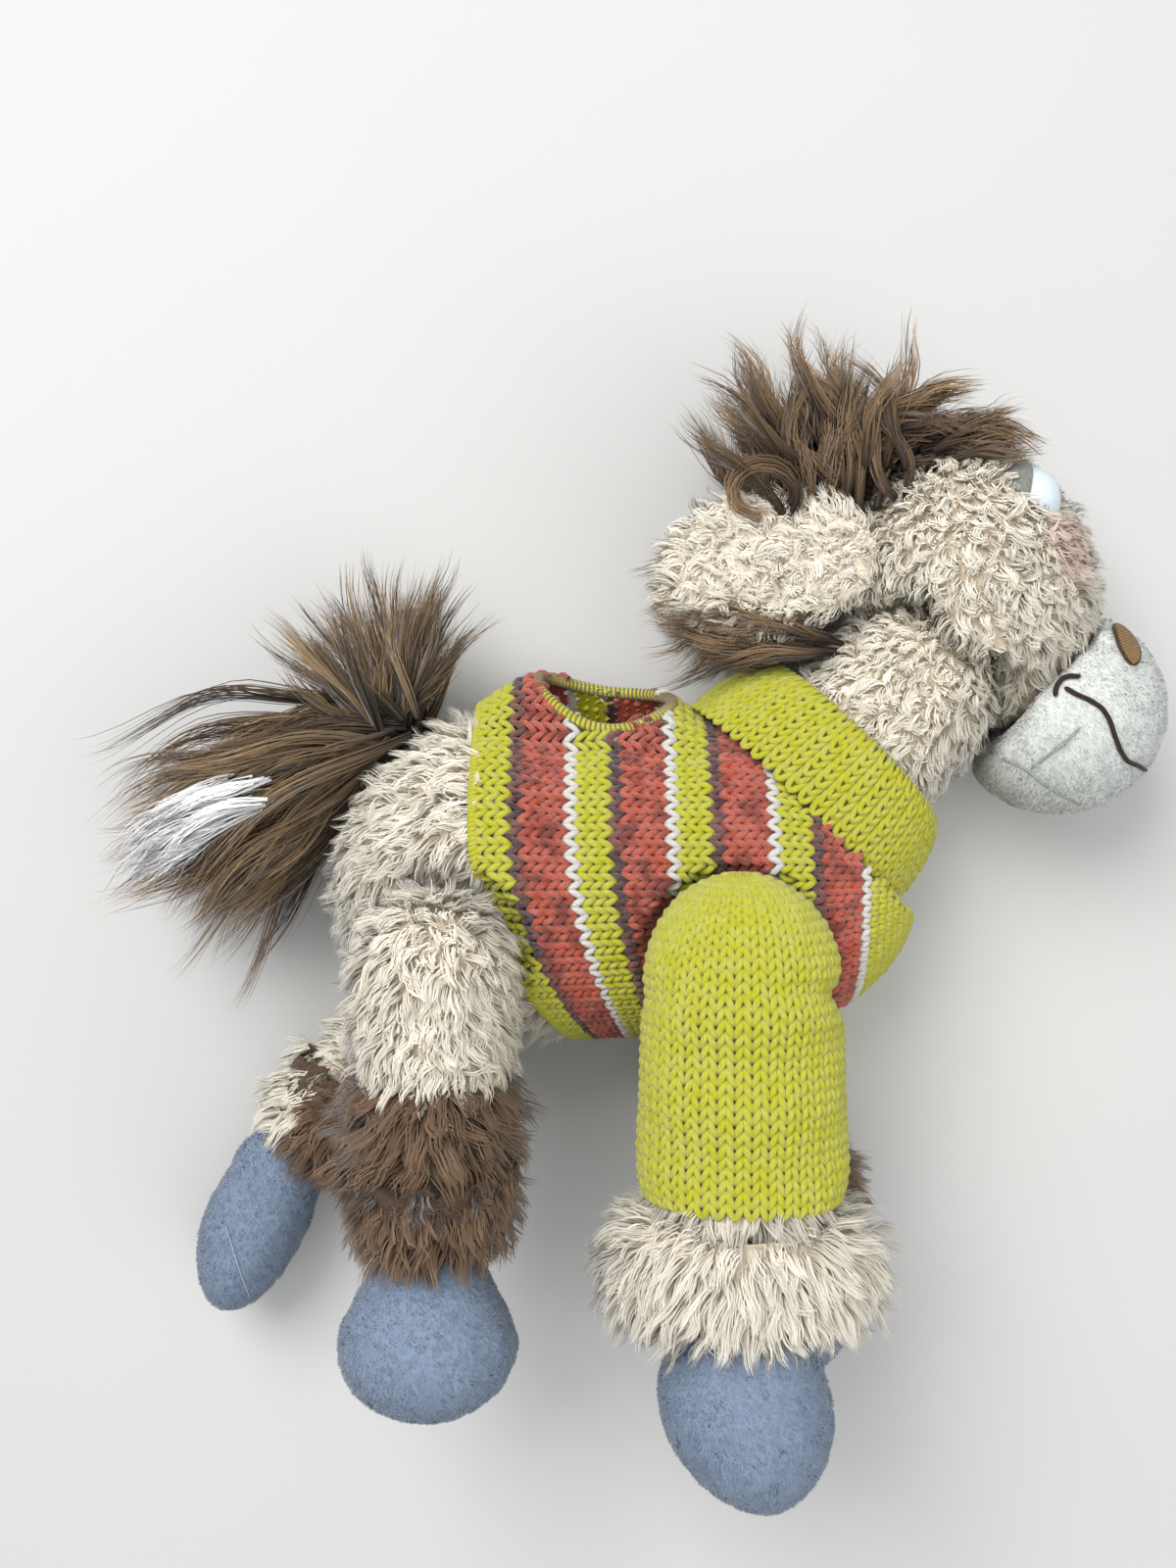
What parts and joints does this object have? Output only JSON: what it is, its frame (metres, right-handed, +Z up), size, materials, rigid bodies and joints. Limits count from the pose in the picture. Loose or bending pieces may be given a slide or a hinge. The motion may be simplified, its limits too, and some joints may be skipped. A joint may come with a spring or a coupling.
{
  "type": "plush horse",
  "caption": "Soft stuffed horse lying on its side, with a knitted sweater, shaggy cuffs, loose hooves, long mane and tail, floppy ears.",
  "frame": {"origin": "on the surface that the horse lies on, under the middle of its torso", "axes": "+X from the rump to the chest, +Y from the belly to the back, +Z up, towards the horse's right side"},
  "size_m": [0.334, 0.3462, 0.1158],
  "materials": {
    "forelock": "long-haired plush",
    "head_skin": "shaggy plush",
    "head_stuffing": "loose white polyester filling",
    "left_ear": "shaggy plush",
    "left_ear_lining": "short-napped cloth",
    "left_eye": "smooth cloth dome with a dark spot",
    "left_eyelid": "short-napped cloth",
    "left_front_cuff": "long-haired plush",
    "left_front_hip_tab": "shaggy plush",
    "left_front_hoof_skin": "short-napped plush",
    "left_front_hoof_stuffing": "loose white polyester filling",
    "left_front_leg_skin": "shaggy plush",
    "left_front_leg_stuffing": "loose white polyester filling",
    "left_front_sleeve": "plain knitted yarn",
    "left_nostril": "embroidered satin stitch",
    "left_rear_cuff": "long-haired plush",
    "left_rear_hoof_skin": "short-napped plush",
    "left_rear_hoof_stuffing": "loose white polyester filling",
    "left_rear_leg_skin": "shaggy plush",
    "left_rear_leg_stuffing": "loose white polyester filling",
    "mane_crest": "long-haired plush",
    "mane_nape": "long-haired plush",
    "mouth_thread": "stitched thread",
    "muzzle_skin": "short-napped plush",
    "muzzle_stuffing": "loose white polyester filling",
    "neck_skin": "shaggy plush",
    "neck_stuffing": "loose white polyester filling",
    "right_ear": "shaggy plush",
    "right_ear_lining": "short-napped cloth",
    "right_eye": "smooth cloth dome with a dark spot",
    "right_eyelid": "short-napped cloth",
    "right_front_cuff": "long-haired plush",
    "right_front_hip_tab": "shaggy plush",
    "right_front_hoof_skin": "short-napped plush",
    "right_front_hoof_stuffing": "loose white polyester filling",
    "right_front_leg_skin": "shaggy plush",
    "right_front_leg_stuffing": "loose white polyester filling",
    "right_front_sleeve": "plain knitted yarn",
    "right_nostril": "embroidered satin stitch",
    "right_rear_cuff": "long-haired plush",
    "right_rear_hoof_skin": "short-napped plush",
    "right_rear_hoof_stuffing": "loose white polyester filling",
    "right_rear_leg_skin": "shaggy plush",
    "right_rear_leg_stuffing": "loose white polyester filling",
    "sweater_body": "knitted yarn, striped in colours",
    "sweater_collar": "ribbed knitted yarn",
    "tail_lock": "long-haired plush",
    "tail_root": "long-haired plush",
    "tail_tuft": "long-haired plush",
    "tail_white_tip": "long-haired plush",
    "torso_skin": "shaggy plush",
    "torso_stuffing": "loose white polyester filling"
  },
  "bodies": {
    "torso": {"torso_skin": "torso_skin", "torso_stuffing": "torso_stuffing", "sweater_body": "sweater_body", "sweater_collar": "sweater_collar"},
    "neck": {"neck_skin": "neck_skin", "neck_stuffing": "neck_stuffing"},
    "head": {"head_skin": "head_skin", "head_stuffing": "head_stuffing", "muzzle_skin": "muzzle_skin", "muzzle_stuffing": "muzzle_stuffing", "mouth_thread": "mouth_thread", "right_eye": "right_eye", "left_eye": "left_eye", "right_eyelid": "right_eyelid", "left_eyelid": "left_eyelid", "right_nostril": "right_nostril", "left_nostril": "left_nostril", "forelock": "forelock", "mane_crest": "mane_crest", "mane_nape": "mane_nape"},
    "right_ear_flap": {"right_ear": "right_ear", "right_ear_lining": "right_ear_lining"},
    "left_ear_flap": {"left_ear": "left_ear", "left_ear_lining": "left_ear_lining"},
    "tail": {"tail_root": "tail_root", "tail_lock": "tail_lock", "tail_tuft": "tail_tuft", "tail_white_tip": "tail_white_tip"},
    "right_rear_leg": {"right_rear_leg_skin": "right_rear_leg_skin", "right_rear_leg_stuffing": "right_rear_leg_stuffing", "right_rear_cuff": "right_rear_cuff"},
    "right_rear_hoof": {"right_rear_hoof_skin": "right_rear_hoof_skin", "right_rear_hoof_stuffing": "right_rear_hoof_stuffing"},
    "right_front_leg": {"right_front_leg_skin": "right_front_leg_skin", "right_front_leg_stuffing": "right_front_leg_stuffing", "right_front_cuff": "right_front_cuff", "right_front_sleeve": "right_front_sleeve", "right_front_hip_tab": "right_front_hip_tab"},
    "right_front_hoof": {"right_front_hoof_skin": "right_front_hoof_skin", "right_front_hoof_stuffing": "right_front_hoof_stuffing"},
    "left_rear_leg": {"left_rear_leg_skin": "left_rear_leg_skin", "left_rear_leg_stuffing": "left_rear_leg_stuffing", "left_rear_cuff": "left_rear_cuff"},
    "left_rear_hoof": {"left_rear_hoof_skin": "left_rear_hoof_skin", "left_rear_hoof_stuffing": "left_rear_hoof_stuffing"},
    "left_front_leg": {"left_front_leg_skin": "left_front_leg_skin", "left_front_leg_stuffing": "left_front_leg_stuffing", "left_front_cuff": "left_front_cuff", "left_front_sleeve": "left_front_sleeve", "left_front_hip_tab": "left_front_hip_tab"},
    "left_front_hoof": {"left_front_hoof_skin": "left_front_hoof_skin", "left_front_hoof_stuffing": "left_front_hoof_stuffing"}
  },
  "joints": [
    {"name": "neck_turn", "type": "hinge", "parent": "torso", "child": "neck", "pos_m": [0.05204, 0.02396, 0.041], "axis": [0.7071, 0.7071, 0], "range_deg": [-20, 20]},
    {"name": "head_nod", "type": "hinge", "parent": "neck", "child": "head", "pos_m": [0.08527, 0.05719, 0.041], "axis": [0, 0, 1], "range_deg": [-12, 6]},
    {"name": "right_ear_lift", "type": "hinge", "parent": "head", "child": "right_ear_flap", "pos_m": [0.07601, 0.09795, 0.0672], "axis": [0, 1, 0], "range_deg": [0, 60]},
    {"name": "left_ear_lift", "type": "hinge", "parent": "head", "child": "left_ear_flap", "pos_m": [0.07601, 0.09795, 0.0148], "axis": [0, -1, 0], "range_deg": [0, 45]},
    {"name": "tail_swing", "type": "hinge", "parent": "torso", "child": "tail", "pos_m": [-0.07136, 0.04541, 0.041], "axis": [0, 0, 1], "range_deg": [-22, 8]},
    {"name": "right_rear_hip", "type": "hinge", "parent": "torso", "child": "right_rear_leg", "pos_m": [-0.05499, -0.021, 0.0896], "axis": [0, 0, 1], "range_deg": [-50, 8]},
    {"name": "right_rear_ankle", "type": "hinge", "parent": "right_rear_leg", "child": "right_rear_hoof", "pos_m": [-0.0566, -0.11299, 0.0896], "axis": [0, 0, 1], "range_deg": [-20, 20]},
    {"name": "right_front_hip", "type": "hinge", "parent": "torso", "child": "right_front_leg", "pos_m": [0.03099, -0.025, 0.0896], "axis": [0, 0, 1], "range_deg": [-8, 50]},
    {"name": "right_front_ankle", "type": "hinge", "parent": "right_front_leg", "child": "right_front_hoof", "pos_m": [0.03099, -0.132, 0.0896], "axis": [0, 0, 1], "range_deg": [-20, 20]},
    {"name": "left_rear_hip", "type": "hinge", "parent": "torso", "child": "left_rear_leg", "pos_m": [-0.05299, -0.03, 0.0255], "axis": [0, 0, 1], "range_deg": [-8, 48]},
    {"name": "left_rear_ankle", "type": "hinge", "parent": "left_rear_leg", "child": "left_rear_hoof", "pos_m": [-0.11188, -0.0954, 0.0255], "axis": [0, 0, 1], "range_deg": [-20, 20]},
    {"name": "left_front_hip", "type": "hinge", "parent": "torso", "child": "left_front_leg", "pos_m": [0.04, -0.027, 0.0255], "axis": [0, 0, 1], "range_deg": [-12, 40]},
    {"name": "left_front_ankle", "type": "hinge", "parent": "left_front_leg", "child": "left_front_hoof", "pos_m": [0.04854, -0.12463, 0.0255], "axis": [0, 0, 1], "range_deg": [-20, 20]}
  ]
}
